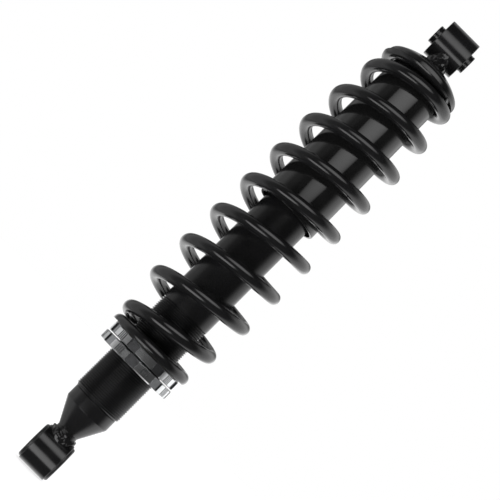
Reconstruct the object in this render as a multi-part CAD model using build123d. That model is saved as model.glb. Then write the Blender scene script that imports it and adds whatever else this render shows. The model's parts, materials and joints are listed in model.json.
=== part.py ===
from build123d import *
import math
import os

# Coil-over shock absorber (strut assembly) with two bushed mounting eyes.
# Millimetres. The origin is the centre of the lower eye's bolt hole. +Z runs along the shock's
# axis to the upper eye, and both bolt holes run along X. This is the fully extended position.

# Overall
EYE_TO_EYE = 488.0
BOLT_HOLE_R = 6.1
FIT = 0.05  # radial clearance of a running fit
SNUG = 0.02  # radial clearance of a static fit
BORE_EDGE = 0.5  # small chamfer on turned edges

# Damper tube and its thread
BODY_BORE_R = 20.0
THREAD_CREST_R = 23.9
THREAD_DEPTH = 1.1
THREAD_PITCH = 2.0
THREAD_TOP_Z = 160.0
BODY_R = 24.0
BODY_BOTTOM_Z = 57.0
BODY_TOP_Z = 295.0
SNAP_GROOVE_R = 21.2
SNAP_RING_H = 1.6

# End cap
CAP_R = 22.2
CAP_SHOULDER_Z = 56.5
CAP_CONE_TOP_Z = 45.5
CAP_NECK_R = 10.35
CAP_NECK_Z = 24.0
CAP_SPIGOT_TOP_Z = 68.0
FILL_PORT_Z = 51.0
FILL_SCREW_R = 3.0
FILL_SCREW_LENGTH = 8.0
FILL_PASSAGE_R = 1.5

# Lower eye
LOWER_EYE_R = 18.5
LOWER_EYE_W = 27.3
EYE_BORE_R = 14.0
LOWER_FLANGE_R = 17.0
LOWER_FLANGE_T = 2.45
LOWER_FLANGE_ROUND = 1.8
LOWER_SLEEVE_R = 8.5
LOWER_SLEEVE_W = 32.6

# Upper eye
UPPER_EYE_R = 18.8
UPPER_EYE_W = 31.5
UPPER_SLEEVE_R = 8.85
UPPER_SLEEVE_W = 40.7
SLEEVE_MARK_X = 18.0
SLEEVE_MARK_W = 0.6
SLEEVE_MARK_DEPTH = 0.45
BUSHING_GAP = 0.4  # between the inner ends of the two bushing halves

# Adjusting nuts and the slip ring that the spring sits on
LOCK_NUT_R = 37.5
LOCK_NUT_Z = 97.4
PRELOAD_NUT_R = 36.65
PRELOAD_NUT_Z = 106.8
NUT_H = 8.4
NUT_LANDS = 8
NUT_SLOT_DEG = 16.0
NUT_SLOT_DEPTH = 1.6
NUT_CHAMFER = 0.8
LOCK_NUT_PHASE = 286.5  # angle of one land's middle, from +X towards +Y
PRELOAD_NUT_PHASE = 274.4
KNURL_GROOVES = 4
KNURL_STEP_DEG = 3.0
KNURL_R = 0.62
SLIP_RING_R = 35.9
SLIP_RING_T = 1.0
SLIP_LIP_R = 28.9
SLIP_LIP_H = 2.0
SLIP_LIP_W = 2.0

# Spring: closed ends, drawn in slightly, with the outer face of each end ground flat
WIRE_R = 5.75
SPRING_TURNS = 10.45
SPRING_START_DEG = 148.6
SPRING_SEAT_Z = PRELOAD_NUT_Z + NUT_H + SLIP_RING_T
SPRING_TOP_Z = 444.6
SPRING_FIRST_Z = 116.7
SPRING_LAST_Z = 447.1
COIL_R_END = 35.1
COIL_R_MID = 42.9
COIL_R_EASE_FROM = 0.2  # turns from the tip
COIL_R_EASE_OVER = 2.6
DEAD_PITCH = 5.3
LOWER_CLOSE_FROM = 0.35
LOWER_CLOSE_OVER = 0.94
UPPER_CLOSE_FROM = 0.25
UPPER_CLOSE_OVER = 1.18
SPRING_STATIONS_PER_TURN = 12

# Top retainer and dust cover
ROD_R = 8.0
RETAINER_TOP_Z = 462.1
RETAINER_RIM_R = 38.6
RETAINER_RIM_Z = 447.0
SPIGOT_R = 26.45
SPIGOT_BOTTOM_Z = 431.6
SPIGOT_WALL = 4.2
BOSS_BOTTOM_Z = 440.0
COVER_BOTTOM_Z = 280.5
COVER_R_BOTTOM = 30.0
COVER_R_TOP = 28.7
COVER_TOP_Z = SPRING_TOP_Z
COVER_STRAIGHT_Z = 430.6
COVER_WALL = 2.2
BUMP_CUP_R = 21.5
BUMP_CUP_WALL = 1.5
BUMP_CUP_BOTTOM_Z = 430.0
BUMP_STOP_R = 18.5
BUMP_STOP_BOTTOM_Z = 412.6
BUMP_STOP_WAIST = 3.0

# Rod guide and its seals
GUIDE_BOTTOM_Z = 268.0
GUIDE_TOP_Z = 292.0
GUIDE_BUSH_R = 9.5
GUIDE_BUSH_Z = (270.5, 286.0)
ROD_SEAL_R = 12.5
ROD_SEAL_Z = (286.6, 291.4)
WIPER_R = 11.5
TOP_CAP_R = 23.5
TOP_CAP_TOP_Z = 297.5
TOP_CAP_FLANGE_Z = BODY_TOP_Z
O_RING_R = 1.3  # section radius of the O-rings
O_RING_GROOVE_W = 3.2

# Piston and valve stack on the rod's threaded end
ROD_SHOULDER_Z = 259.0
ROD_THREAD_R = 6.0
ROD_END_Z = 227.0
WASHER_T = 2.0
WASHER_R = 10.0
SHIM_T = 0.4
SHIM_RADII = (16.0, 13.5, 11.0)
PISTON_R = 19.5
PISTON_H = 15.0
PISTON_BAND_R = 19.96
BAND_DEPTH = 1.1
BAND_H = 9.0
PISTON_PORTS = 6
PORT_R = 1.9
PORT_CIRCLE_R = 13.2
NUT_ACROSS_FLATS = 19.0
PISTON_NUT_H = 7.5
TOP_OUT_R = 13.0

# Floating piston between the oil and the gas
FLOAT_Z = 95.0
FLOAT_H = 15.0
FLOAT_CUP_R = 13.0
FLOAT_CUP_DEPTH = 9.0

# Welds: half axes (across X, across Y) at the two ends of each fillet
COLLAR_R = 10.2
LOWER_WELD = ((12.8, 13.8, 12.6), (10.6, 10.6, 22.6))  # x half axis, y half axis, z
UPPER_WELD = ((11.2, 12.4, 463.2), (9.6, 15.6, 479.0))

SHIM_STACK_H = SHIM_T * len(SHIM_RADII)


def disc(r, z0, z1):
    """A solid cylinder on the shock's axis."""
    return Pos(0, 0, z0) * Cylinder(r, z1 - z0, align=(Align.CENTER, Align.CENTER, Align.MIN))


def ring(r_in, r_out, z0, z1):
    return disc(r_out, z0, z1) - disc(r_in, z0 - 1, z1 + 1)


def rod_x(r, x0, x1, z=0.0):
    """A solid cylinder parallel to X."""
    turned = Rot(0, 90, 0) * Cylinder(r, x1 - x0, align=(Align.CENTER, Align.CENTER, Align.MIN))
    return Pos(x0, 0, z) * turned


def lathe(points):
    """Turns a closed outline of (radius, z) points about the shock's axis."""
    outline = Polyline([(r, 0, z) for r, z in points], close=True)
    return revolve(make_face(outline), axis=Axis.Z)


def o_ring(outer_r, z):
    section_centre = Pos(0, 0, z)
    return section_centre * Torus(outer_r - O_RING_R, O_RING_R)


def o_ring_groove(outer_r, z):
    floor_r = outer_r - 2 * O_RING_R - SNUG
    return ring(floor_r, outer_r + 1, z - O_RING_GROOVE_W / 2, z + O_RING_GROOVE_W / 2)


def ease(t):
    """Smooth step from 0 at t=0 to 1 at t=1."""
    t = min(1.0, max(0.0, t))
    return t * t * (3 - 2 * t)


def ease_area(t):
    """The area under ease() from 0 to t."""
    if t <= 0:
        return 0.0
    if t >= 1:
        return t - 0.5
    return t**3 - t**4 / 2


# Spring ---------------------------------------------------------------------------------------


def climbed(turns, close_from, close_over):
    """Share of full pitch gained, in turns, this far from a tip."""
    return close_over * ease_area((turns - close_from) / close_over)


def spring_z(turns):
    """Height of the wire's centre, this many turns from the lower tip."""
    half = SPRING_TURNS / 2
    lower = climbed(min(turns, half), LOWER_CLOSE_FROM, LOWER_CLOSE_OVER)
    upper_all = climbed(half, UPPER_CLOSE_FROM, UPPER_CLOSE_OVER)
    upper_left = climbed(min(SPRING_TURNS - turns, half), UPPER_CLOSE_FROM, UPPER_CLOSE_OVER)
    gained = lower + upper_all - upper_left
    full = climbed(half, LOWER_CLOSE_FROM, LOWER_CLOSE_OVER) + upper_all
    rise = SPRING_LAST_Z - SPRING_FIRST_Z
    extra_pitch = (rise - DEAD_PITCH * SPRING_TURNS) / full
    return SPRING_FIRST_Z + DEAD_PITCH * turns + extra_pitch * gained


def spring_r(turns):
    """Radius of the wire's centre line about the axis."""
    from_tip = min(turns, SPRING_TURNS - turns)
    return COIL_R_END + (COIL_R_MID - COIL_R_END) * ease((from_tip - COIL_R_EASE_FROM) / COIL_R_EASE_OVER)


def spring_point(turns):
    angle = math.radians(SPRING_START_DEG) + 2 * math.pi * turns
    return Vector(spring_r(turns) * math.cos(angle), spring_r(turns) * math.sin(angle), spring_z(turns))


def coil_spring():
    stations = round(SPRING_TURNS * SPRING_STATIONS_PER_TURN)
    centre_line = Spline([spring_point(SPRING_TURNS * i / stations) for i in range(stations + 1)])
    start = Plane(origin=centre_line @ 0, z_dir=centre_line % 0)
    wire = sweep(start * Circle(WIRE_R), path=centre_line, is_frenet=True)
    far = COIL_R_MID * 3
    below = Pos(0, 0, SPRING_SEAT_Z) * Box(far, far, far, align=(Align.CENTER, Align.CENTER, Align.MAX))
    above = Pos(0, 0, SPRING_TOP_Z) * Box(far, far, far, align=(Align.CENTER, Align.CENTER, Align.MIN))
    return wire - below - above


# Damper body ----------------------------------------------------------------------------------


def shock_body():
    """Tube with the adjusting thread cut as rings, so that the nuts' plain bores clear it."""
    outline = [(BODY_BORE_R, BODY_TOP_Z), (BODY_BORE_R, BODY_BOTTOM_Z)]
    root_r = THREAD_CREST_R - THREAD_DEPTH
    outline.append((root_r, BODY_BOTTOM_Z))
    z = BODY_BOTTOM_Z + THREAD_PITCH / 2
    crest_flat = THREAD_PITCH / 8
    flank = (THREAD_PITCH - 2 * crest_flat) / 2
    while z + THREAD_PITCH < THREAD_TOP_Z:
        outline.append((root_r, z))
        outline.append((THREAD_CREST_R, z + flank))
        outline.append((THREAD_CREST_R, z + flank + crest_flat))
        outline.append((root_r, z + 2 * flank + crest_flat))
        z += THREAD_PITCH
    outline.append((root_r, THREAD_TOP_Z))
    outline.append((BODY_R - BORE_EDGE, THREAD_TOP_Z))
    outline.append((BODY_R, THREAD_TOP_Z + BORE_EDGE))
    outline.append((BODY_R, BODY_TOP_Z - BORE_EDGE))
    outline.append((BODY_R - BORE_EDGE, BODY_TOP_Z))
    snap_groove = ring(BODY_BORE_R - 1, SNAP_GROOVE_R, GUIDE_TOP_Z, GUIDE_TOP_Z + SNAP_RING_H + SNUG)
    return lathe(outline) - snap_groove


def end_cap():
    spigot_r = BODY_BORE_R - SNUG
    relief = 0.6
    profile = [
        (0, LOWER_WELD[0][2] - 3),
        (CAP_NECK_R, LOWER_WELD[0][2] - 3),
        (CAP_NECK_R, CAP_NECK_Z),
        (CAP_R, CAP_CONE_TOP_Z),
        (CAP_R, CAP_SHOULDER_Z - relief),
        (CAP_R - relief, CAP_SHOULDER_Z),
        (CAP_R - relief, BODY_BOTTOM_Z),
        (spigot_r, BODY_BOTTOM_Z),
        (spigot_r, CAP_SPIGOT_TOP_Z - BORE_EDGE),
        (spigot_r - BORE_EDGE, CAP_SPIGOT_TOP_Z),
        (0, CAP_SPIGOT_TOP_Z),
    ]
    cap = lathe(profile)
    cap -= rod_x(LOWER_EYE_R, -LOWER_EYE_W, LOWER_EYE_W)
    cap -= o_ring_groove(spigot_r, (BODY_BOTTOM_Z + CAP_SPIGOT_TOP_Z) / 2)
    cap -= fill_port(FILL_SCREW_R, CAP_R + 1, FILL_SCREW_LENGTH + 3)
    cap -= fill_port(FILL_PASSAGE_R, CAP_R, CAP_R)
    cap -= disc(FILL_PASSAGE_R, FILL_PORT_Z, CAP_SPIGOT_TOP_Z + 1)
    return cap


def fill_port(radius, mouth_y, depth):
    """A cylinder along Y whose outer end is at mouth_y, on the shock's rear side."""
    drilled = Rot(90, 0, 0) * Cylinder(radius, depth, align=(Align.CENTER, Align.CENTER, Align.MIN))
    return Pos(0, mouth_y, FILL_PORT_Z) * drilled


def gas_fill_screw():
    head_y = CAP_R - 0.6
    socket = Pos(0, head_y + 1, FILL_PORT_Z) * Rot(90, 0, 0) * extrude(RegularPolygon(1.7, 6), 5)
    return fill_port(FILL_SCREW_R - SNUG, head_y, FILL_SCREW_LENGTH) - socket


def end_cap_oring():
    return o_ring(BODY_BORE_R - SNUG, (BODY_BOTTOM_Z + CAP_SPIGOT_TOP_Z) / 2)


def rod_guide():
    outer_r = BODY_BORE_R - SNUG
    guide = ring(ROD_R + 0.5, outer_r, GUIDE_BOTTOM_Z, GUIDE_TOP_Z)
    guide -= disc(GUIDE_BUSH_R, GUIDE_BUSH_Z[0], GUIDE_BUSH_Z[1])
    guide -= disc(ROD_SEAL_R, ROD_SEAL_Z[0], GUIDE_TOP_Z + 1)
    guide -= o_ring_groove(outer_r, (GUIDE_BOTTOM_Z + GUIDE_TOP_Z) / 2)
    return guide


def rod_bushing():
    return ring(ROD_R + FIT, GUIDE_BUSH_R - SNUG, GUIDE_BUSH_Z[0] + SNUG, GUIDE_BUSH_Z[1])


def rod_seal():
    lip = ring(ROD_R + 1.2, ROD_SEAL_R - 1.4, ROD_SEAL_Z[0] - 1, ROD_SEAL_Z[0] + 2.6)
    return ring(ROD_R + FIT, ROD_SEAL_R - SNUG, *ROD_SEAL_Z) - lip


def guide_oring():
    return o_ring(BODY_BORE_R - SNUG, (GUIDE_BOTTOM_Z + GUIDE_TOP_Z) / 2)


def retaining_ring():
    gap = Pos(0, BODY_BORE_R, GUIDE_TOP_Z) * Box(9, 12, 4)
    return ring(BODY_BORE_R - 2.6, SNAP_GROOVE_R - SNUG, GUIDE_TOP_Z, GUIDE_TOP_Z + SNAP_RING_H) - gap


def body_top_cap():
    """Closes the tube over the snap ring and holds the wiper."""
    cap = ring(ROD_R + 0.6, TOP_CAP_R, TOP_CAP_FLANGE_Z, TOP_CAP_TOP_Z)
    spigot = ring(ROD_R + 0.6, BODY_BORE_R - SNUG, GUIDE_TOP_Z + SNAP_RING_H + FIT, TOP_CAP_FLANGE_Z)
    cap += spigot
    cap -= disc(WIPER_R, TOP_CAP_FLANGE_Z - 0.8, TOP_CAP_TOP_Z + 1)
    return cap


def wiper_seal():
    z0 = TOP_CAP_FLANGE_Z - 0.8
    lip = ring(ROD_R + FIT + 0.5, ROD_R + 2.2, z0 + 1.4, TOP_CAP_TOP_Z + 1)
    return ring(ROD_R + FIT, WIPER_R - SNUG, z0, TOP_CAP_TOP_Z) - lip


# Eyes -----------------------------------------------------------------------------------------


def eye_tube(radius, width, z):
    tube = rod_x(radius, -width / 2, width / 2, z) - rod_x(EYE_BORE_R, -width, width, z)
    return chamfer(tube.edges().filter_by(GeomType.CIRCLE), BORE_EDGE)


def flanged_bushing(side):
    """One half of the lower bushing. side is +1 on the right, -1 on the left."""
    inner_x = BUSHING_GAP / 2
    face_x = LOWER_EYE_W / 2 + SNUG
    outer_x = face_x + LOWER_FLANGE_T
    body = rod_x(EYE_BORE_R - SNUG, inner_x, face_x)
    flange = rod_x(LOWER_FLANGE_R, face_x, outer_x)
    flange = fillet(flange.edges().filter_by(GeomType.CIRCLE).sort_by(Axis.X)[-1], LOWER_FLANGE_ROUND)
    half = body + flange - rod_x(LOWER_SLEEVE_R + FIT, -1, outer_x + 1)
    return half if side > 0 else mirror(half, Plane.YZ)


def plain_bushing(side):
    """One half of the upper bushing, flush with the eye tube's end."""
    inner_x = BUSHING_GAP / 2
    outer_x = UPPER_EYE_W / 2 - BORE_EDGE
    half = rod_x(EYE_BORE_R - SNUG, inner_x, outer_x, EYE_TO_EYE)
    half -= rod_x(UPPER_SLEEVE_R + FIT, -1, outer_x + 1, EYE_TO_EYE)
    return half if side > 0 else mirror(half, Plane.YZ)


def sleeve(radius, width, z):
    tube = rod_x(radius, -width / 2, width / 2, z) - rod_x(BOLT_HOLE_R, -width, width, z)
    return chamfer(tube.edges().filter_by(GeomType.CIRCLE), BORE_EDGE)


def upper_sleeve():
    """Long sleeve that stands out of the eye, with a turned line near each end."""
    tube = sleeve(UPPER_SLEEVE_R, UPPER_SLEEVE_W, EYE_TO_EYE)
    for x in (-SLEEVE_MARK_X, SLEEVE_MARK_X):
        cutter = rod_x(UPPER_SLEEVE_R + 1, x - SLEEVE_MARK_W / 2, x + SLEEVE_MARK_W / 2, EYE_TO_EYE)
        floor_r = UPPER_SLEEVE_R - SLEEVE_MARK_DEPTH
        tube -= cutter - rod_x(floor_r, -UPPER_SLEEVE_W, UPPER_SLEEVE_W, EYE_TO_EYE)
    return tube


def saddle_weld(ends, eye_r, eye_z, neck_r):
    """Fillet between a round neck and an eye tube, as a loft from ellipse to ellipse."""
    sections = [Plane.XY.offset(z) * Ellipse(x_half, y_half) for x_half, y_half, z in ends]
    bead = loft(sections)
    bead -= rod_x(eye_r, -3 * eye_r, 3 * eye_r, eye_z)
    return bead - disc(neck_r, ends[0][2] - 30, ends[1][2] + 30)


def lower_eye_weld():
    weld = saddle_weld(LOWER_WELD, LOWER_EYE_R, 0.0, CAP_NECK_R)
    return weld - lathe([(0, 0), (CAP_NECK_R, 0), (CAP_NECK_R, CAP_NECK_Z), (CAP_R, CAP_CONE_TOP_Z), (0, 60)])


def rod_end_collar():
    collar = ring(ROD_R, COLLAR_R, RETAINER_TOP_Z + FIT, EYE_TO_EYE)
    return collar - rod_x(UPPER_EYE_R, -40, 40, EYE_TO_EYE)


# Nuts and slip ring ---------------------------------------------------------------------------


def slotted_nut(radius, z, phase, knurled_lands):
    """Ring nut with spanner slots, and fine grooves across the middle of the knurled lands."""
    nut = ring(THREAD_CREST_R + FIT, radius, z, z + NUT_H)
    nut = chamfer(nut.edges().filter_by(GeomType.CIRCLE), NUT_CHAMFER)
    step = 360.0 / NUT_LANDS
    slot_floor = radius - NUT_SLOT_DEPTH
    width = 2 * radius * math.sin(math.radians(NUT_SLOT_DEG / 2))
    slot = Pos(slot_floor, 0, z - 1) * Box(20, width, NUT_H + 2, align=(Align.MIN, Align.CENTER, Align.MIN))
    groove = Pos(radius, 0, z - 1) * Cylinder(
        KNURL_R, NUT_H + 2, rotation=(0, 0, 0), align=(Align.CENTER, Align.CENTER, Align.MIN)
    )
    for i in range(NUT_LANDS):
        land = phase + step * i
        nut -= Rot(0, 0, land + step / 2) * slot
        if i in knurled_lands:
            for k in range(KNURL_GROOVES):
                offset = (k - (KNURL_GROOVES - 1) / 2) * KNURL_STEP_DEG
                nut -= Rot(0, 0, land + offset) * groove
    return nut


def lock_nut():
    return slotted_nut(LOCK_NUT_R, LOCK_NUT_Z, LOCK_NUT_PHASE, range(NUT_LANDS))


def preload_nut():
    return slotted_nut(PRELOAD_NUT_R, PRELOAD_NUT_Z, PRELOAD_NUT_PHASE, range(1, NUT_LANDS, 2))


def spring_seat():
    z0 = PRELOAD_NUT_Z + NUT_H
    flat = ring(BODY_R + 0.3, SLIP_RING_R, z0, z0 + SLIP_RING_T)
    lip = ring(SLIP_LIP_R - SLIP_LIP_W, SLIP_LIP_R, z0, z0 + SLIP_RING_T + SLIP_LIP_H)
    return flat + lip


# Floating piston ------------------------------------------------------------------------------


def floating_piston():
    piston = disc(PISTON_R, FLOAT_Z, FLOAT_Z + FLOAT_H)
    piston -= disc(FLOAT_CUP_R, FLOAT_Z - 1, FLOAT_Z + FLOAT_CUP_DEPTH)
    piston -= ring(PISTON_R - BAND_DEPTH, PISTON_R + 1, FLOAT_Z + 1.5, FLOAT_Z + 7.0)
    floor_r = PISTON_BAND_R - 2 * O_RING_R - SNUG
    piston -= ring(floor_r, PISTON_R + 1, FLOAT_Z + 9.0, FLOAT_Z + 9.0 + O_RING_GROOVE_W)
    return piston


def floating_piston_band():
    return ring(PISTON_R - BAND_DEPTH + SNUG, PISTON_BAND_R, FLOAT_Z + 1.5 + SNUG, FLOAT_Z + 7.0 - SNUG)


def floating_piston_oring():
    return o_ring(PISTON_BAND_R, FLOAT_Z + 9.0 + O_RING_GROOVE_W / 2)


# Rod assembly ---------------------------------------------------------------------------------


def piston_rod():
    thread = disc(ROD_THREAD_R, ROD_END_Z, ROD_SHOULDER_Z)
    shaft = disc(ROD_R, ROD_SHOULDER_Z, EYE_TO_EYE)
    return thread + shaft - rod_x(UPPER_EYE_R, -40, 40, EYE_TO_EYE)


def rebound_stack_z():
    """Bottom of the shim stack above the piston."""
    return ROD_SHOULDER_Z - WASHER_T - SHIM_STACK_H


def piston_z():
    return rebound_stack_z() - PISTON_H


def shims(z, direction):
    """Three thin discs, the widest against the piston. direction is +1 up, -1 down."""
    stack = []
    for i, r in enumerate(SHIM_RADII):
        low = z + i * SHIM_T if direction > 0 else z - (i + 1) * SHIM_T
        stack.append(ring(ROD_THREAD_R + SNUG, r, low, low + SHIM_T))
    return Compound(children=stack)


def rebound_shims():
    return shims(rebound_stack_z(), 1)


def compression_shims():
    return shims(piston_z(), -1)


def piston_washers():
    low_z = piston_z() - SHIM_STACK_H - WASHER_T
    high = ring(ROD_THREAD_R + SNUG, WASHER_R, ROD_SHOULDER_Z - WASHER_T, ROD_SHOULDER_Z)
    low = ring(ROD_THREAD_R + SNUG, WASHER_R, low_z, low_z + WASHER_T)
    return Compound(children=[high, low])


def piston_nut():
    top = piston_z() - SHIM_STACK_H - WASHER_T
    hexagon = RegularPolygon(NUT_ACROSS_FLATS / 2, 6, major_radius=False)
    nut = Pos(0, 0, top - PISTON_NUT_H) * extrude(hexagon, PISTON_NUT_H)
    return nut - disc(ROD_THREAD_R + SNUG, top - PISTON_NUT_H - 1, top + 1)


def band_z():
    return piston_z() + (PISTON_H - BAND_H) / 2


def main_piston():
    piston = ring(ROD_THREAD_R + SNUG, PISTON_R, piston_z(), piston_z() + PISTON_H)
    piston -= ring(PISTON_R - BAND_DEPTH, PISTON_R + 1, band_z(), band_z() + BAND_H)
    for i in range(PISTON_PORTS):
        angle = math.radians(360.0 * i / PISTON_PORTS)
        port = disc(PORT_R, piston_z() - 1, piston_z() + PISTON_H + 1)
        piston -= Pos(PORT_CIRCLE_R * math.cos(angle), PORT_CIRCLE_R * math.sin(angle), 0) * port
    return piston


def piston_band():
    return ring(PISTON_R - BAND_DEPTH + SNUG, PISTON_BAND_R, band_z() + SNUG, band_z() + BAND_H - SNUG)


def top_out_bumper():
    return ring(ROD_R + SNUG, TOP_OUT_R, ROD_SHOULDER_Z + SNUG, GUIDE_BOTTOM_Z - FIT)


# Top retainer group ---------------------------------------------------------------------------


def upper_retainer():
    """Domed hat with an upright rim, which sits on the end of the spring and centres the dust cover."""
    bore_r = ROD_R + FIT
    dome_start = (15.0, RETAINER_TOP_Z)
    shoulder = (26.4, 457.4)
    lip = (36.2, 451.8)
    rim = (RETAINER_RIM_R, RETAINER_RIM_Z)
    crown = ThreePointArc(*[Vector(r, 0, z) for r, z in (dome_start, (20.8, 460.1), shoulder)])
    brim = ThreePointArc(*[Vector(r, 0, z) for r, z in (shoulder, (31.4, 454.9), lip)])
    edge = Spline([Vector(lip[0], 0, lip[1]), Vector(38.0, 0, 450.2), Vector(rim[0], 0, rim[1])])
    inner_r = SPIGOT_R - SPIGOT_WALL
    points = [
        rim,
        (RETAINER_RIM_R, SPRING_TOP_Z),
        (SPIGOT_R, SPRING_TOP_Z),
        (SPIGOT_R, SPIGOT_BOTTOM_Z),
        (inner_r, SPIGOT_BOTTOM_Z),
        (inner_r, BOSS_BOTTOM_Z),
        (bore_r, BOSS_BOTTOM_Z),
        (bore_r, RETAINER_TOP_Z),
        dome_start,
    ]
    rest = Polyline([Vector(r, 0, z) for r, z in points])
    return revolve(make_face([crown, brim, edge, rest]), axis=Axis.Z)


def dust_cover():
    """Thin moulded tube that tapers in slightly towards the top, with a rolled lower rim."""
    lip_h = 1.5
    lip = 0.5
    outline = [
        (COVER_R_BOTTOM - COVER_WALL, COVER_BOTTOM_Z),
        (COVER_R_BOTTOM - lip, COVER_BOTTOM_Z),
        (COVER_R_BOTTOM, COVER_BOTTOM_Z + lip),
        (COVER_R_BOTTOM, COVER_BOTTOM_Z + lip_h),
        (COVER_R_TOP, COVER_STRAIGHT_Z),
        (COVER_R_TOP, COVER_TOP_Z),
        (COVER_R_TOP - COVER_WALL, COVER_TOP_Z),
        (COVER_R_TOP - COVER_WALL, COVER_STRAIGHT_Z),
    ]
    return lathe(outline)


def bump_stop_cup():
    floor_plate = ring(ROD_R + FIT, BUMP_CUP_R, BOSS_BOTTOM_Z - BUMP_CUP_WALL, BOSS_BOTTOM_Z)
    skirt = ring(BUMP_CUP_R - BUMP_CUP_WALL, BUMP_CUP_R, BUMP_CUP_BOTTOM_Z, BOSS_BOTTOM_Z - BUMP_CUP_WALL)
    return floor_plate + skirt


def bump_stop():
    """Foam bumper with two waists, so that it folds up evenly."""
    top_z = BOSS_BOTTOM_Z - BUMP_CUP_WALL
    length = top_z - BUMP_STOP_BOTTOM_Z
    bore_r = ROD_R + FIT
    waist_r = BUMP_STOP_R - BUMP_STOP_WAIST
    edge = Spline(
        [
            Vector(BUMP_STOP_R - 4.0, 0, BUMP_STOP_BOTTOM_Z),
            Vector(BUMP_STOP_R - 0.5, 0, BUMP_STOP_BOTTOM_Z + 0.14 * length),
            Vector(waist_r, 0, BUMP_STOP_BOTTOM_Z + 0.32 * length),
            Vector(BUMP_STOP_R, 0, BUMP_STOP_BOTTOM_Z + 0.52 * length),
            Vector(waist_r, 0, BUMP_STOP_BOTTOM_Z + 0.72 * length),
            Vector(BUMP_STOP_R, 0, top_z),
        ]
    )
    end = edge @ 1
    points = [(end.X, top_z), (bore_r, top_z), (bore_r, BUMP_STOP_BOTTOM_Z)]
    points.append((BUMP_STOP_R - 4.0, BUMP_STOP_BOTTOM_Z))
    rest = Polyline([Vector(r, 0, z) for r, z in points])
    return revolve(make_face([edge, rest]), axis=Axis.Z)


PARTS = {
    "lower_eye_tube": lambda: eye_tube(LOWER_EYE_R, LOWER_EYE_W, 0.0),
    "lower_eye_weld": lower_eye_weld,
    "lower_bushing_left": lambda: flanged_bushing(-1),
    "lower_bushing_right": lambda: flanged_bushing(1),
    "lower_sleeve": lambda: sleeve(LOWER_SLEEVE_R, LOWER_SLEEVE_W, 0.0),
    "end_cap": end_cap,
    "end_cap_oring": end_cap_oring,
    "gas_fill_screw": gas_fill_screw,
    "shock_body": shock_body,
    "rod_guide": rod_guide,
    "rod_bushing": rod_bushing,
    "rod_seal": rod_seal,
    "guide_oring": guide_oring,
    "retaining_ring": retaining_ring,
    "body_top_cap": body_top_cap,
    "wiper_seal": wiper_seal,
    "coil_spring": coil_spring,
    "floating_piston": floating_piston,
    "floating_piston_band": floating_piston_band,
    "floating_piston_oring": floating_piston_oring,
    "spring_seat": spring_seat,
    "preload_nut": preload_nut,
    "lock_nut": lock_nut,
    "upper_retainer": upper_retainer,
    "dust_cover": dust_cover,
    "bump_stop_cup": bump_stop_cup,
    "bump_stop": bump_stop,
    "piston_rod": piston_rod,
    "rod_end_collar": rod_end_collar,
    "main_piston": main_piston,
    "piston_band": piston_band,
    "rebound_shims": rebound_shims,
    "compression_shims": compression_shims,
    "piston_washers": piston_washers,
    "piston_nut": piston_nut,
    "top_out_bumper": top_out_bumper,
    "upper_eye_tube": lambda: eye_tube(UPPER_EYE_R, UPPER_EYE_W, EYE_TO_EYE),
    "upper_eye_weld": lambda: saddle_weld(UPPER_WELD, UPPER_EYE_R, EYE_TO_EYE, COLLAR_R),
    "upper_bushing_left": lambda: plain_bushing(-1),
    "upper_bushing_right": lambda: plain_bushing(1),
    "upper_sleeve": upper_sleeve,
}

os.makedirs("parts", exist_ok=True)
for node, build in PARTS.items():
    export_step(build(), f"parts/{node}.step")
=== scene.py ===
import json
import math

import bmesh
import bpy
import numpy as np
from mathutils import Matrix, Vector, noise

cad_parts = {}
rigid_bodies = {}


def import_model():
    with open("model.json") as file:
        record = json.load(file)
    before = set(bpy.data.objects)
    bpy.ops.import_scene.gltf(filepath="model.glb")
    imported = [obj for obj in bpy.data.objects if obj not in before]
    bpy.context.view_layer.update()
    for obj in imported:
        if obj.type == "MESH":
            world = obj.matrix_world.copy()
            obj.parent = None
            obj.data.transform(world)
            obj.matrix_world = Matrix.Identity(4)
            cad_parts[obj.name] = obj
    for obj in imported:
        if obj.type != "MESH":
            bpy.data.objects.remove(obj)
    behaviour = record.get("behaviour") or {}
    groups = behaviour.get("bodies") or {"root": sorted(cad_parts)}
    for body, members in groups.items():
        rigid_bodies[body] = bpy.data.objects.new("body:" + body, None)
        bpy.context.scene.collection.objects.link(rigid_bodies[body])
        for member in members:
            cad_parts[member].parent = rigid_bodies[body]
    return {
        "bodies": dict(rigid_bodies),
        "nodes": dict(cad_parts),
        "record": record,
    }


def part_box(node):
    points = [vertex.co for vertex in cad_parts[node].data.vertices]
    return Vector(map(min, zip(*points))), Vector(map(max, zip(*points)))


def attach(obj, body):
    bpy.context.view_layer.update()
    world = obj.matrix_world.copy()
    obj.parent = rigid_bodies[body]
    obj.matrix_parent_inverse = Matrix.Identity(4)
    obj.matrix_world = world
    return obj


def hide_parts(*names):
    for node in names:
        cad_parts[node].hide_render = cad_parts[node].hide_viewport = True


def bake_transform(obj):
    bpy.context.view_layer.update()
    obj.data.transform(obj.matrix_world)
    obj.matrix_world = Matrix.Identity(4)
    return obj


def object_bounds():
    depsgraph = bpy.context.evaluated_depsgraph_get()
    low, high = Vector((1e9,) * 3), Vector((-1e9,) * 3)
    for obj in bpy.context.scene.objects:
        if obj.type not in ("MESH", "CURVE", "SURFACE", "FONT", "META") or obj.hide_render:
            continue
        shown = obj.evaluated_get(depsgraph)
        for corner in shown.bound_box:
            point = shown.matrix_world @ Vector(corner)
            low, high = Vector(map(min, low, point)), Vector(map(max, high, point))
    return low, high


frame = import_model()
cad_low, cad_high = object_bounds()

# A coil-over shock absorber. The axis is Z, both bolt holes run along X, and the camera looks along +Y.
# Lengths in this file are metres; MM turns a figure in millimetres into metres.
MM = 0.001
SHARP_EDGE = math.radians(38)

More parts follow.
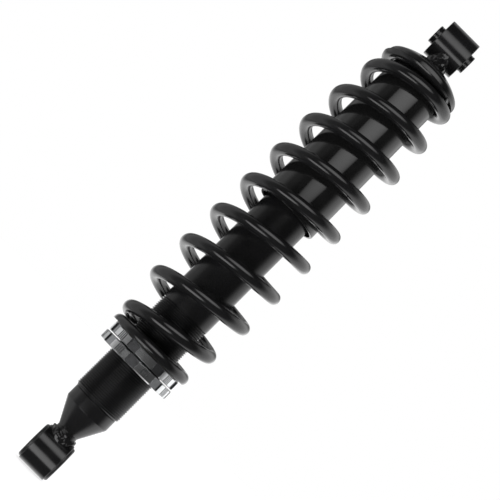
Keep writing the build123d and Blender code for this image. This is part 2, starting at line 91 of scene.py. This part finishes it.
# Spring, the same curve as the CAD's
WIRE_R = 5.75 * MM
SPRING_TURNS = 10.45
SPRING_START = math.radians(148.6)
FIRST_RISE = 0.5 * MM  # from the ground lower face up to the wire's centre at the lower tip
LAST_RISE = 2.5 * MM  # from the ground upper face up to the wire's centre at the upper tip
COIL_R_END = 35.1 * MM
COIL_EASE = (0.2, 2.6)  # turns from a tip: where the coil starts to widen, and over how many turns
DEAD_PITCH = 5.3 * MM
LOWER_CLOSE = (0.35, 0.94)  # turns from the tip: where the pitch starts to open, and over how many turns
UPPER_CLOSE = (0.25, 1.18)
STATIONS_PER_TURN = 96
WIRE_SIDES = 36

# Adjusting thread on the damper tube
TUBE_BORE_R = 20.0 * MM
THREAD_PITCH = 2.0 * MM
THREAD_CREST_R = 23.9 * MM
THREAD_DEPTH = 1.1 * MM
THREAD_TOP = 160.0 * MM
THREAD_RUNOUT = 1.6 * MM
THREAD_SIDES = 144
THREAD_PROFILE = (  # share of the pitch, and share of the depth from root to crest
    (0.0, 0.0),
    (0.08, 0.0),
    (0.40, 0.93),
    (0.46, 1.0),
    (0.60, 1.0),
    (0.66, 0.93),
)
TUBE_EDGE = 0.5 * MM

# Welds, each between a round neck on the axis and an eye tube. foot holds the half widths of the weld's edge
# on the tube, across X and across Y; side is +1 where the neck stands above the tube.
LOWER_WELD = {
    "neck_r": 10.5 * MM,
    "neck_z": 21.6 * MM,
    "foot": (12.4 * MM, 13.4 * MM),
    "side": 1,
    "seed": 3.0,
}
UPPER_WELD = {
    "neck_r": 10.4 * MM,
    "neck_z": 463.4 * MM,
    "foot": (9.8 * MM, 15.0 * MM),
    "side": -1,
    "seed": 8.0,
}
WELD_CREASE = math.radians(70)
WELD_SIDES = 192
WELD_ROWS = 18
WELD_SLOPE = 0.55  # how far the weld's face leans away from the neck
WELD_CROWN = 0.7  # below 1 the weld is fuller than a half sine
WELD_THROAT = 0.8  # mean height in millimetres
LUMP_HEIGHT = 1.5  # millimetres
LUMP_SCALE = 230  # per metre
RIPPLE_HEIGHT = 0.35  # millimetres
RIPPLE_SCALE = 560  # per metre
WANDER_SCALE = 2.2  # how often the weld's edges wander, per turn
WANDER_FOOT = (0.10, 0.05)  # as a share of the half widths of the foot
WANDER_NECK = 0.9 * MM
WELD_UNDER_FOOT = 3.0 * MM  # how far the hidden lower edge lies inside the foot
WELD_UNDER_TUBE = 1.5 * MM  # and how deep it lies in the tube
WELD_UNDER_NECK = 1.2 * MM


# Small mesh helpers ---------------------------------------------------------------------------


def ease(t):
    t = min(1.0, max(0.0, t))
    return t * t * (3 - 2 * t)


def ease_area(t):
    """The area under ease() from 0 to t."""
    if t <= 0:
        return 0.0
    if t >= 1:
        return t - 0.5
    return t**3 - t**4 / 2


def new_object(bm, name):
    """An object in the scene that takes over a bmesh."""
    mesh = bpy.data.meshes.new(name)
    bm.to_mesh(mesh)
    bm.free()
    piece = bpy.data.objects.new(name, mesh)
    bpy.context.scene.collection.objects.link(piece)
    return piece


def finish_mesh(bm, name, sharp=SHARP_EDGE, merge=True):
    """Makes an object from a bmesh, with outward normals, smooth faces and sharp creases."""
    if merge:
        bmesh.ops.remove_doubles(bm, verts=bm.verts, dist=1e-6)
        bmesh.ops.dissolve_degenerate(bm, edges=bm.edges, dist=1e-7)
    bmesh.ops.recalc_face_normals(bm, faces=bm.faces)
    piece = new_object(bm, name)
    for face in piece.data.polygons:
        face.use_smooth = True
    piece.data.set_sharp_from_angle(angle=sharp)
    return piece


def skin(bm, rings, closed=False, caps=True):
    """Quads between rings of points; each ring is a closed loop. closed joins the last to the first."""
    made = [[bm.verts.new(p) for p in ring] for ring in rings]
    pairs = list(zip(made, made[1:]))
    if closed:
        pairs.append((made[-1], made[0]))
    for one, two in pairs:
        count = len(one)
        for i in range(count):
            j = (i + 1) % count
            bm.faces.new((one[i], one[j], two[j], two[i]))
    if caps and not closed:
        bm.faces.new(made[0])
        bm.faces.new(list(reversed(made[-1])))


def circle(radius, z, sides):
    step = 2 * math.pi / sides
    return [(radius * math.cos(i * step), radius * math.sin(i * step), z) for i in range(sides)]


def rectangle(bm, half_x, half_y, z):
    """One flat face, centred on the Z axis."""
    corners = ((-1, -1), (1, -1), (1, 1), (-1, 1))
    bm.faces.new([bm.verts.new((x * half_x, y * half_y, z)) for x, y in corners])


def axes(right, up, back):
    """The turn that carries X, Y and Z onto these three directions."""
    return Matrix((right, up, back)).transposed().to_4x4()


# Spring ---------------------------------------------------------------------------------------


def climbed(turns, close):
    """Full-pitch turns gained this far from a tip."""
    start, over = close
    return over * ease_area((turns - start) / over)


def spring_share(turns):
    """Share of the spring's active coils below this point, from 0 at the lower tip to 1 at the top."""
    half = SPRING_TURNS / 2
    upper_all = climbed(half, UPPER_CLOSE)
    gained = climbed(min(turns, half), LOWER_CLOSE) + upper_all
    gained -= climbed(min(SPRING_TURNS - turns, half), UPPER_CLOSE)
    return gained / (climbed(half, LOWER_CLOSE) + upper_all)


def spring_centre(turns, low, high):
    """Centre of the wire this many turns from the lower tip, for a spring in the box from low to high."""
    first = low.z + FIRST_RISE
    last = high.z + LAST_RISE
    active_rise = last - first - DEAD_PITCH * SPRING_TURNS
    z = first + DEAD_PITCH * turns + active_rise * spring_share(turns)
    mid_r = (high.x - low.x) / 2 - WIRE_R
    from_tip = min(turns, SPRING_TURNS - turns)
    radius = COIL_R_END + (mid_r - COIL_R_END) * ease((from_tip - COIL_EASE[0]) / COIL_EASE[1])
    angle = SPRING_START + 2 * math.pi * turns
    return Vector((radius * math.cos(angle), radius * math.sin(angle), z))


def wire_ring(turns, step, low, high):
    """The wire's outline at one station, cut off at the ground ends."""
    centre = spring_centre(turns, low, high)
    ahead = spring_centre(min(turns + step, SPRING_TURNS), low, high)
    behind = spring_centre(max(turns - step, 0.0), low, high)
    along = (ahead - behind).normalized()
    outward = Vector((centre.x, centre.y, 0)).normalized()
    outward = (outward - along * outward.dot(along)).normalized()
    upward = along.cross(outward).normalized()
    ring = []
    for k in range(WIRE_SIDES):
        a = 2 * math.pi * k / WIRE_SIDES
        point = centre + (outward * math.cos(a) + upward * math.sin(a)) * WIRE_R
        point.z = min(high.z, max(low.z, point.z))
        ring.append(point)
    return ring


def follow_seat(spring, shares):
    """Lets the lower end of the spring follow the seat, which the nuts carry up and down the thread."""
    group = spring.vertex_groups.new(name="follows_seat")
    for index, share in enumerate(shares):
        if share < 1:
            group.add([index], 1 - share, "REPLACE")
    hook = spring.modifiers.new("seat_follow", "HOOK")
    hook.object = frame["bodies"]["spring_seat"]
    hook.vertex_group = group.name
    hook.falloff_type = "NONE"
    hook.matrix_inverse = Matrix.Identity(4)


def build_spring(paint):
    """The coil spring, with both ends ground flat, that stretches between the seat and the retainer."""
    low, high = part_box("coil_spring")
    stations = round(SPRING_TURNS * STATIONS_PER_TURN)
    step = SPRING_TURNS / stations
    rings = []
    shares = []
    for i in range(stations + 1):
        rings.append(wire_ring(i * step, step, low, high))
        shares += [spring_share(i * step)] * WIRE_SIDES
    bm = bmesh.new()
    skin(bm, rings)
    spring = finish_mesh(bm, "coil_spring_wire", merge=False)
    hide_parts("coil_spring")
    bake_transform(spring)
    # The coils share the stroke by how much active wire lies below each section, so a section stays round.
    follow_seat(spring, shares)
    spring.data.materials.append(paint)


# Damper tube ----------------------------------------------------------------------------------


def thread_radius(depth_share, z, low_z):
    """Radius of the thread at a point of its profile. It starts with a chamfer and runs out at the top."""
    groove = (1 - depth_share) * ease((THREAD_TOP - z) / THREAD_RUNOUT)
    chamfer = 1 - ease((z - low_z) / THREAD_RUNOUT)
    return THREAD_CREST_R - THREAD_DEPTH * max(groove, chamfer)


def thread_row(bm, pitches, depth_share, low_z):
    """One line of the profile, wound once round the tube from this many pitches above its lower end."""
    row = []
    for i in range(THREAD_SIDES):
        around = i / THREAD_SIDES
        z = low_z + THREAD_PITCH * (pitches + around)
        z = min(THREAD_TOP, max(low_z, z))
        r = thread_radius(depth_share, z, low_z)
        angle = 2 * math.pi * around
        row.append(bm.verts.new((r * math.cos(angle), r * math.sin(angle), z)))
    return row


def cut_thread(bm, low_z):
    """A true single-start right-handed thread, whose rows join up one pitch higher after each turn."""
    pitches = int((THREAD_TOP - low_z) / THREAD_PITCH) + 2
    rows = []
    for j in range(-1, pitches):
        rows += [thread_row(bm, j + phase, depth_share, low_z) for phase, depth_share in THREAD_PROFILE]
    per_turn = len(THREAD_PROFILE)
    for k, (row, above) in enumerate(zip(rows, rows[1:])):
        for i in range(THREAD_SIDES - 1):
            bm.faces.new((row[i], row[i + 1], above[i + 1], above[i]))
        if k + 1 + per_turn < len(rows):
            bm.faces.new((row[-1], rows[k + per_turn][0], rows[k + 1 + per_turn][0], above[-1]))


def build_tube(paint):
    """The damper tube: threaded outside over its lower part, with a plain stretch above."""
    low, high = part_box("shock_body")
    top_r = (high.x - low.x) / 2
    bm = bmesh.new()
    cut_thread(bm, low.z)
    outline = (
        (THREAD_CREST_R, THREAD_TOP),
        (top_r, THREAD_TOP + TUBE_EDGE),
        (top_r, high.z - TUBE_EDGE),
        (top_r - TUBE_EDGE, high.z),
        (TUBE_BORE_R, high.z),
        (TUBE_BORE_R, low.z),
        (THREAD_CREST_R - THREAD_DEPTH, low.z),
    )
    skin(bm, [circle(r, z, THREAD_SIDES) for r, z in outline], caps=False)
    tube = finish_mesh(bm, "damper_tube")
    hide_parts("shock_body")
    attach(tube, "damper_body")
    tube.data.materials.append(paint)


# Welds ----------------------------------------------------------------------------------------


def eye_shape(node):
    """Outer radius of an eye tube, and the height of its centre."""
    low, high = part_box(node)
    return (high.z - low.z) / 2, (high.z + low.z) / 2


def tube_height(y, eye, side, sink=0.0):
    """Height of the eye tube's surface at this y, on the side that faces the neck."""
    eye_r, eye_z = eye
    return eye_z + side * (math.sqrt(max(0.0, eye_r**2 - y**2)) - sink)


def weld_point(weld, eye, angle, t):
    """A point of the weld's face at an angle round the axis, from the neck (t = 0) to the tube (t = 1)."""
    cos = math.cos(angle)
    sin = math.sin(angle)
    side = weld["side"]
    seed = weld["seed"]
    wander = noise.noise(Vector((cos * WANDER_SCALE, sin * WANDER_SCALE, seed)))
    foot_x, foot_y = (half * (1 + share * wander) for half, share in zip(weld["foot"], WANDER_FOOT))
    foot_y *= sin
    top = Vector((weld["neck_r"] * cos, weld["neck_r"] * sin, weld["neck_z"] + side * WANDER_NECK * wander))
    bottom = Vector((foot_x * cos, foot_y, tube_height(foot_y, eye, side)))
    point = top.lerp(bottom, t)
    outward = Vector((cos, sin, side * WELD_SLOPE)).normalized()
    bulge = math.sin(math.pi * t) ** WELD_CROWN
    lump = noise.noise(point * LUMP_SCALE + Vector((seed, 0, 0)))
    ripple = noise.noise(point * RIPPLE_SCALE + Vector((0, seed, 0)))
    height = bulge * (WELD_THROAT + LUMP_HEIGHT * lump + RIPPLE_HEIGHT * ripple) * MM
    return point + outward * height


def build_weld(name, node, body, weld, eye, paint):
    """A hand-laid fillet weld, closed underneath by a strip that lies inside the tube and the neck."""
    angles = [2 * math.pi * i / WELD_SIDES for i in range(WELD_SIDES)]
    rings = [[weld_point(weld, eye, a, row / WELD_ROWS) for a in angles] for row in range(WELD_ROWS + 1)]
    hidden_x, hidden_y = (half - WELD_UNDER_FOOT for half in weld["foot"])
    hidden_r = weld["neck_r"] - WELD_UNDER_NECK
    in_tube = []
    for a in angles:
        y = hidden_y * math.sin(a)
        in_tube.append((hidden_x * math.cos(a), y, tube_height(y, eye, weld["side"], WELD_UNDER_TUBE)))
    bm = bmesh.new()
    skin(bm, rings + [in_tube, circle(hidden_r, weld["neck_z"], WELD_SIDES)], closed=True)
    bead = finish_mesh(bm, name, WELD_CREASE)
    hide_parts(node)
    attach(bead, body)
    bead.data.materials.append(paint)


# Node helpers ---------------------------------------------------------------------------------


def add(tree, kind, inputs=None, **settings):
    """A new node. Each input is a value or another node's output."""
    node = tree.nodes.new(kind)
    for key, value in settings.items():
        setattr(node, key, value)
    for key, value in (inputs or {}).items():
        if isinstance(value, bpy.types.NodeSocket):
            tree.links.new(value, node.inputs[key])
        else:
            node.inputs[key].default_value = value
    return node


def maths(tree, operation, *values):
    """The result of one Math node. Its inputs are values or other nodes' outputs."""
    return add(tree, "ShaderNodeMath", dict(enumerate(values)), operation=operation).outputs[0]


def split(tree, vector):
    """The x, y and z of a vector."""
    return add(tree, "ShaderNodeSeparateXYZ", {0: vector}).outputs


def scaled(tree, vector, by):
    return add(tree, "ShaderNodeVectorMath", {0: vector, "Scale": by}, operation="SCALE").outputs[0]


def millimetres(tree):
    """The object's own coordinates, in millimetres."""
    return scaled(tree, add(tree, "ShaderNodeTexCoord").outputs["Object"], 1000.0)


def turned(tree):
    """Distance from the Z axis and height, in millimetres, as a vector: for lathe marks."""
    x, y, z = split(tree, millimetres(tree))
    flat = add(tree, "ShaderNodeCombineXYZ", {0: x, 1: y})
    radius = add(tree, "ShaderNodeVectorMath", {0: flat.outputs[0]}, operation="LENGTH")
    return add(tree, "ShaderNodeCombineXYZ", {0: radius.outputs["Value"], 1: z}).outputs[0]


def fractal(tree, where, scale, detail=3.0, rough=0.5):
    inputs = {"Vector": where, "Scale": scale, "Detail": detail, "Roughness": rough}
    return add(tree, "ShaderNodeTexNoise", inputs).outputs["Fac"]


def remap(tree, value, low, high, new_low, new_high, **settings):
    inputs = {"Value": value, "From Min": low, "From Max": high, "To Min": new_low, "To Max": new_high}
    return add(tree, "ShaderNodeMapRange", inputs, **settings).outputs[0]


def window(tree, value, low, high, edge):
    """1 where value lies between low and high, falling smoothly to 0 over edge at both sides."""
    rise = remap(tree, value, low - edge, low + edge, 0.0, 1.0, interpolation_type="SMOOTHSTEP")
    fall = remap(tree, value, high - edge, high + edge, 1.0, 0.0, interpolation_type="SMOOTHSTEP")
    return maths(tree, "MULTIPLY", rise, fall)


def mix_colours(tree, factor, one, two, **settings):
    """A mix of two colours, each of them a value or another node's output."""
    node = add(tree, "ShaderNodeMix", data_type="RGBA", **settings)
    for key, value in ((0, factor), (6, one), (7, two)):
        if isinstance(value, bpy.types.NodeSocket):
            tree.links.new(value, node.inputs[key])
        else:
            node.inputs[key].default_value = (*value, 1) if key else value
    return node.outputs[2]


def bumped(tree, height, depth, normal=None):
    """A bump of this depth, in millimetres, from a height between 0 and 1."""
    inputs = {"Height": height, "Distance": depth * MM, "Strength": 1.0}
    if normal is not None:
        inputs["Normal"] = normal
    return add(tree, "ShaderNodeBump", inputs).outputs["Normal"]


def soft_edges(tree, radius):
    """A normal that shades every edge as if it were rounded to this radius, in millimetres."""
    return add(tree, "ShaderNodeBevel", {"Radius": radius * MM}, samples=4).outputs["Normal"]


def new_material(name):
    material = bpy.data.materials.new(name)
    material.use_nodes = True
    return material, material.node_tree, material.node_tree.nodes["Principled BSDF"]


# Materials ------------------------------------------------------------------------------------

# Depths and radii are in millimetres, and scales say how fine a noise is, per millimetre.

CLOUD_SPREAD = (0.3, 0.7)  # the part of a noise's range that a surface's unevenness uses
SCUFF_SPREAD = (0.35, 0.75)
PAINT_EDGE = 0.4  # radius that edges are shaded with
PLASTIC_EDGE = 0.3
METAL_EDGE = 0.2
PAINT_GRAIN_DEPTH = 0.0006
# Painted shade that ambient occlusion puts in the recesses of turned metals
PAINTED_SHADE_REACH = 1.5  # how far apart two faces may be to darken each other with painted shade
PAINTED_SHADE_SPREAD = (0.35, 0.9)
PAINTED_SHADE_TONE = 0.45
TURNED_METALS = {
    "inner_aluminium": {"colour": (0.75, 0.76, 0.78), "rough": 0.30, "mark_depth": 0.006, "mark_scale": 4.0},
    "rod_chrome": {
        "colour": (0.78, 0.79, 0.80), "rough": 0.07, "mark_depth": 0.0006, "mark_scale": 9.0, "dirt": 0.05
    },
    "zinc_steel": {"colour": (0.62, 0.63, 0.66), "rough": 0.34, "mark_depth": 0.004, "mark_scale": 6.0},
    "sintered_iron": {
        "colour": (0.33, 0.33, 0.34), "rough": 0.50, "mark_depth": 0.012, "mark_scale": 3.0, "dirt": 0.4
    },
    "bronze": {"colour": (0.60, 0.42, 0.22), "rough": 0.35, "mark_depth": 0.004, "mark_scale": 6.0},
}
NUT_METAL = {"colour": (0.86, 0.87, 0.88), "rough": 0.21, "mark_depth": 0.0015, "mark_scale": 5.0}
MOULDED_PLASTICS = {
    "cover_plastic": {"tone": 0.007, "rough": 0.10, "grain_depth": 0.0012, "grain_scale": 3.0},
    "bushing_plastic": {"tone": 0.012, "rough": 0.32, "grain_depth": 0.004, "grain_scale": 4.0},
    "seal_rubber": {"tone": 0.014, "rough": 0.50, "grain_depth": 0.006, "grain_scale": 3.0},
    "band_ptfe": {"tone": 0.12, "rough": 0.55, "grain_depth": 0.003, "grain_scale": 5.0},
}
FOAM_LIGHT = (0.72, 0.60, 0.30)
FOAM_DARK = (0.42, 0.32, 0.13)
FOAM_ROUGH = 0.85
PORE_DEPTH = 0.12

# Painted shade in the cuts of a ring nut, its slots and knurl grooves, measured inwards from its rim: where
# a cut is fully dark, and where that starts
SLOT_SHADE = (1.4, 0.9)
GROOVE_SHADE = (0.5, 0.1)
NUT_CHAMFER = 1.0
NUT_CHAMFER_EDGE = 0.15
CUT_PAINTED_SHADE = (0.48, 0.48, 0.49)


def gloss_black(name, tone=0.0065, rough=0.17, peel=0.010, peel_scale=0.55, ior=1.5):
    """Powder coat: nearly black, glossy, with a faint orange peel and a little unevenness in its shine."""
    material, tree, bsdf = new_material(name)
    here = millimetres(tree)
    cloud = fractal(tree, here, 0.05)
    peel_noise = fractal(tree, here, peel_scale, 2.0)
    grain = fractal(tree, here, 6.0, 2.0)
    colour = mix_colours(tree, cloud, (tone * 0.7,) * 3, (tone * 1.35, tone * 1.35, tone * 1.45))
    normal = bumped(tree, peel_noise, peel, soft_edges(tree, PAINT_EDGE))
    normal = bumped(tree, grain, PAINT_GRAIN_DEPTH, normal)
    shine = remap(tree, cloud, *CLOUD_SPREAD, rough * 0.85, rough * 1.2)
    tree.links.new(colour, bsdf.inputs["Base Color"])
    tree.links.new(shine, bsdf.inputs["Roughness"])
    tree.links.new(normal, bsdf.inputs["Normal"])
    bsdf.inputs["IOR"].default_value = ior
    return material


def moulded_plastic(name, tone, rough, grain_depth, grain_scale):
    """Moulded plastic, rubber or polyurethane with a fine skin grain."""
    material, tree, bsdf = new_material(name)
    here = millimetres(tree)
    cloud = fractal(tree, here, 0.08)
    grain = fractal(tree, here, grain_scale, 4.0)
    scuff = fractal(tree, here, 0.9, 6.0, 0.7)
    colour = mix_colours(tree, cloud, (tone * 0.8,) * 3, (tone * 1.25,) * 3)
    shine = remap(tree, scuff, *SCUFF_SPREAD, rough * 0.85, rough * 1.25)
    tree.links.new(colour, bsdf.inputs["Base Color"])
    tree.links.new(shine, bsdf.inputs["Roughness"])
    tree.links.new(bumped(tree, grain, grain_depth, soft_edges(tree, PLASTIC_EDGE)), bsdf.inputs["Normal"])
    return material


def turned_metal(name, colour, rough, mark_depth, mark_scale, dirt=0.25):
    """Bare metal with lathe marks that run round the axis, and painted shade that darkens its recesses
    slightly.
    """
    material, tree, bsdf = new_material(name)
    marks = fractal(tree, turned(tree), mark_scale, 3.0, 0.6)
    cloud = fractal(tree, millimetres(tree), 0.25, 4.0)
    reach = {"Distance": PAINTED_SHADE_REACH * MM}
    # Painted shade: ambient occlusion darkens the base colour where faces lie close together
    recess_shade = add(tree, "ShaderNodeAmbientOcclusion", reach, samples=4, only_local=True)
    unshaded_share = remap(tree, recess_shade.outputs["AO"], *PAINTED_SHADE_SPREAD, 0.0, 1.0)
    tint = mix_colours(tree, cloud, tuple(c * (1 - dirt) for c in colour), colour)
    shaded = mix_colours(tree, unshaded_share, tuple(c * PAINTED_SHADE_TONE for c in colour), tint)
    shine = remap(tree, marks, *CLOUD_SPREAD, rough * 0.8, rough * 1.25)
    tree.links.new(shaded, bsdf.inputs["Base Color"])
    tree.links.new(shine, bsdf.inputs["Roughness"])
    tree.links.new(bumped(tree, marks, mark_depth, soft_edges(tree, METAL_EDGE)), bsdf.inputs["Normal"])
    bsdf.inputs["Metallic"].default_value = 1.0
    return material


def slotted_aluminium(node):
    """Bright turned ring nut, with painted shade that darkens its slots and grooves against its rim and its
    chamfers.
    """
    low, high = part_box(node)
    rim_r = (high.x - low.x) / 2 / MM
    material = turned_metal(node + "_finish", **NUT_METAL)
    tree = material.node_tree
    radius = split(tree, turned(tree))[0]
    in_slot = remap(tree, radius, rim_r - SLOT_SHADE[0], rim_r - SLOT_SHADE[1], 1.0, 0.0)
    in_groove = remap(tree, radius, rim_r - GROOVE_SHADE[0], rim_r - GROOVE_SHADE[1], 1.0, 0.0)
    height = split(tree, millimetres(tree))[2]
    off_chamfer = window(tree, height, low.z / MM + NUT_CHAMFER, high.z / MM - NUT_CHAMFER, NUT_CHAMFER_EDGE)
    # Painted shade: the slots everywhere, and the knurl grooves away from the chamfers, are multiplied
    # darker
    cut_shade_mask = maths(tree, "MAXIMUM", in_slot, maths(tree, "MULTIPLY", in_groove, off_chamfer))
    base = tree.nodes["Principled BSDF"].inputs["Base Color"]
    bright = base.links[0].from_socket
    shade = mix_colours(tree, cut_shade_mask, (1.0, 1.0, 1.0), CUT_PAINTED_SHADE)
    tree.links.new(mix_colours(tree, 1.0, bright, shade, blend_type="MULTIPLY"), base)
    return material


def open_foam(name):
    """Foam with small pores."""
    material, tree, bsdf = new_material(name)
    cells = add(tree, "ShaderNodeTexVoronoi", {"Vector": millimetres(tree), "Scale": 1.1})
    pores = remap(tree, cells.outputs["Distance"], 0.0, 0.6, 0.0, 1.0)
    tree.links.new(mix_colours(tree, pores, FOAM_DARK, FOAM_LIGHT), bsdf.inputs["Base Color"])
    tree.links.new(bumped(tree, pores, PORE_DEPTH), bsdf.inputs["Normal"])
    bsdf.inputs["Roughness"].default_value = FOAM_ROUGH
    return material


def dress_cad_nodes():
    """Gives each CAD node the material of its slot in the record."""
    looks = {
        "black_paint": gloss_black("black_paint"),
        "spring_paint": gloss_black("spring_paint", tone=0.006, rough=0.15, peel=0.012, peel_scale=0.7),
        "bumper_foam": open_foam("bumper_foam"),
    }
    for name, figures in TURNED_METALS.items():
        looks[name] = turned_metal(name, **figures)
    for name, figures in MOULDED_PLASTICS.items():
        looks[name] = moulded_plastic(name, **figures)
    for part in frame["record"]["subparts"]:
        materials = frame["nodes"][part["node"]].data.materials
        materials.clear()
        if part["material_slot"] == "nut_aluminium":
            materials.append(slotted_aluminium(part["node"]))
        else:
            materials.append(looks[part["material_slot"]])
    return looks


# Studio ---------------------------------------------------------------------------------------

VIEW_DISTANCE = 0.95
VIEW_RISE = math.radians(7.5)  # the camera looks this much upwards
VIEW_HEIGHT = 0.23685  # the point on the shock's axis in the middle of the picture
VIEW_ROLL = math.radians(45.16)  # the shock leans to the right by this much
LENS = 80.74
SENSOR = 36.0

STUDIO_DARK = 0.05
# Light from far away. The angles are degrees: azimuth from the camera towards +X, and elevation. Each light
# fades out within edge degrees of its limits.
FAR_LIGHTS = (
    {"azimuth": (86, 150), "elevation": (-75, 52), "edge": 18, "strength": 1.25},
    {"azimuth": (150, 200), "elevation": (-70, 10), "edge": 12, "strength": 1.2},
    {"azimuth": (146, 200), "elevation": (24, 75), "edge": 10, "strength": 0.5},
    {"azimuth": (-200, -150), "elevation": (-60, 10), "edge": 12, "strength": 1.2},
    {"azimuth": (-200, -146), "elevation": (24, 75), "edge": 10, "strength": 0.5},
    {"azimuth": (-140, -80), "elevation": (-60, 70), "edge": 14, "strength": 0.5},
    {"azimuth": (-100, -50), "elevation": (-50, 50), "edge": 12, "strength": 0.15},
)
# Oval panels in front of the object. low_edge and high_edge are the middles of two edges. roundness is the
# power of the oval's outline (2 gives an ellipse), and rim is the share of the light left at the rim.
SOFTBOXES = {
    "upper_softbox": {
        "low_edge": (0.07, -0.72, 0.403),
        "high_edge": (0.07, -0.336, 0.745),
        "half_width": 0.37,
        "roundness": 2.4,
        "rim": 0.35,
        "strength": 2.3,
    },
    "lower_softbox": {
        "low_edge": (-0.48, -1.49, -1.39),
        "high_edge": (-0.48, -0.98, -0.083),
        "half_width": 0.73,
        "roundness": 4.0,
        "rim": 0.45,
        "strength": 3.2,
    },
}
RIM_FADE = 0.1  # share of a panel's reach over which its edge goes dark
WHITE = (1, 1, 1, 1)

FLOOR_DROP = 0.5 * MM
FLOOR_REACH = 6.0
FLOOR_GLOW = 0.75


def place_camera():
    """A camera that looks along +Y and slightly upwards, rolled so that the shock leans to the right."""
    forward = Vector((0, math.cos(VIEW_RISE), math.sin(VIEW_RISE)))
    side = Vector((1, 0, 0))
    upward = side.cross(forward)
    right = side * math.cos(VIEW_ROLL) + upward * math.sin(VIEW_ROLL)
    up = upward * math.cos(VIEW_ROLL) - side * math.sin(VIEW_ROLL)
    place = Vector((0, 0, VIEW_HEIGHT)) - forward * VIEW_DISTANCE
    data = bpy.data.cameras.new("camera")
    data.lens = LENS
    data.sensor_width = SENSOR
    camera = bpy.data.objects.new("camera", data)
    bpy.context.scene.collection.objects.link(camera)
    camera.matrix_world = Matrix.Translation(place) @ axes(right, up, -forward)
    bpy.context.scene.camera = camera


def build_world():
    """A soft studio: pure white behind the object, and far lights that only its surfaces see."""
    world = bpy.data.worlds.new("studio")
    world.use_nodes = True
    tree = world.node_tree
    tree.nodes.clear()
    x, y, z = split(tree, add(tree, "ShaderNodeTexCoord").outputs["Generated"])
    around = maths(tree, "ARCTAN2", x, maths(tree, "MULTIPLY", y, -1.0))
    azimuth = maths(tree, "DEGREES", around)
    elevation = maths(tree, "DEGREES", maths(tree, "ARCSINE", z))
    total = STUDIO_DARK
    for light in FAR_LIGHTS:
        across = window(tree, azimuth, *light["azimuth"], light["edge"])
        upright = window(tree, elevation, *light["elevation"], light["edge"])
        lit = maths(tree, "MULTIPLY", maths(tree, "MULTIPLY", across, upright), light["strength"])
        total = maths(tree, "ADD", lit, total)
    seen = add(tree, "ShaderNodeBackground", {"Color": WHITE, "Strength": 1.0})
    lights = add(tree, "ShaderNodeBackground", {"Color": WHITE, "Strength": total})
    from_camera = add(tree, "ShaderNodeLightPath").outputs["Is Camera Ray"]
    choice = add(tree, "ShaderNodeMixShader", {0: from_camera, 1: lights.outputs[0], 2: seen.outputs[0]})
    add(tree, "ShaderNodeOutputWorld", {"Surface": choice.outputs[0]})
    bpy.context.scene.world = world
    bpy.context.scene.view_settings.view_transform = "Standard"


def softbox_glow(name, half_width, half_height, roundness, rim, strength):
    """Light that is brightest in the middle of an oval panel and ends at its rim."""
    material = bpy.data.materials.new(name)
    material.use_nodes = True
    tree = material.node_tree
    tree.nodes.clear()
    x, y, _ = split(tree, add(tree, "ShaderNodeTexCoord").outputs["Object"])
    powers = []
    for distance, half in ((x, half_width), (y, half_height)):
        share = maths(tree, "ABSOLUTE", maths(tree, "DIVIDE", distance, half))
        powers.append(maths(tree, "POWER", share, roundness))
    outwards = maths(tree, "ADD", *powers)
    fading = remap(tree, outwards, 0.0, 1.0, strength, strength * rim)
    inside = remap(tree, outwards, 1.0 - RIM_FADE, 1.0, 1.0, 0.0)
    glow = maths(tree, "MULTIPLY", fading, inside)
    shine = add(tree, "ShaderNodeEmission", {"Color": WHITE, "Strength": glow})
    add(tree, "ShaderNodeOutputMaterial", {"Surface": shine.outputs[0]})
    return material


def build_softbox(name, low_edge, high_edge, half_width, **glow):
    """A glowing oval panel that only the object's surfaces see."""
    low_edge = Vector(low_edge)
    high_edge = Vector(high_edge)
    half_height = (high_edge - low_edge).length / 2
    upward = (high_edge - low_edge).normalized()
    across = Vector((1, 0, 0))
    middle = (low_edge + high_edge) / 2
    bm = bmesh.new()
    rectangle(bm, half_width, half_height, 0)
    panel = new_object(bm, name)
    panel.matrix_world = Matrix.Translation(middle) @ axes(across, upward, across.cross(upward))
    panel.data.materials.append(softbox_glow(name, half_width, half_height, **glow))
    panel.visible_camera = False
    panel.visible_shadow = False


def build_floor():
    """A plain pale floor under the lower eye."""
    bm = bmesh.new()
    rectangle(bm, FLOOR_REACH, FLOOR_REACH, cad_low.z - FLOOR_DROP)
    floor = finish_mesh(bm, "floor")
    material, tree, bsdf = new_material("floor_paper")
    fibres = fractal(tree, millimetres(tree), 0.8, 4.0)
    tree.links.new(mix_colours(tree, fibres, (0.90,) * 3, (0.93,) * 3), bsdf.inputs["Base Color"])
    bsdf.inputs["Roughness"].default_value = 0.95
    bsdf.inputs["Emission Color"].default_value = WHITE
    bsdf.inputs["Emission Strength"].default_value = FLOOR_GLOW
    floor.data.materials.append(material)
    floor.visible_glossy = False
    floor.visible_shadow = False


# Build ----------------------------------------------------------------------------------------

looks = dress_cad_nodes()
build_spring(looks["spring_paint"])
build_tube(gloss_black("tube_paint", tone=0.006, rough=0.2, ior=1.4))
weld_paint = gloss_black("weld_paint", tone=0.007, rough=0.14, peel=0.03, peel_scale=1.3)
lower_eye = eye_shape("lower_eye_tube")
upper_eye = eye_shape("upper_eye_tube")
build_weld("lower_weld_bead", "lower_eye_weld", "damper_body", LOWER_WELD, lower_eye, weld_paint)
build_weld("upper_weld_bead", "upper_eye_weld", "rod", UPPER_WELD, upper_eye, weld_paint)

build_world()
for name, figures in SOFTBOXES.items():
    build_softbox(name, **figures)
build_floor()
place_camera()
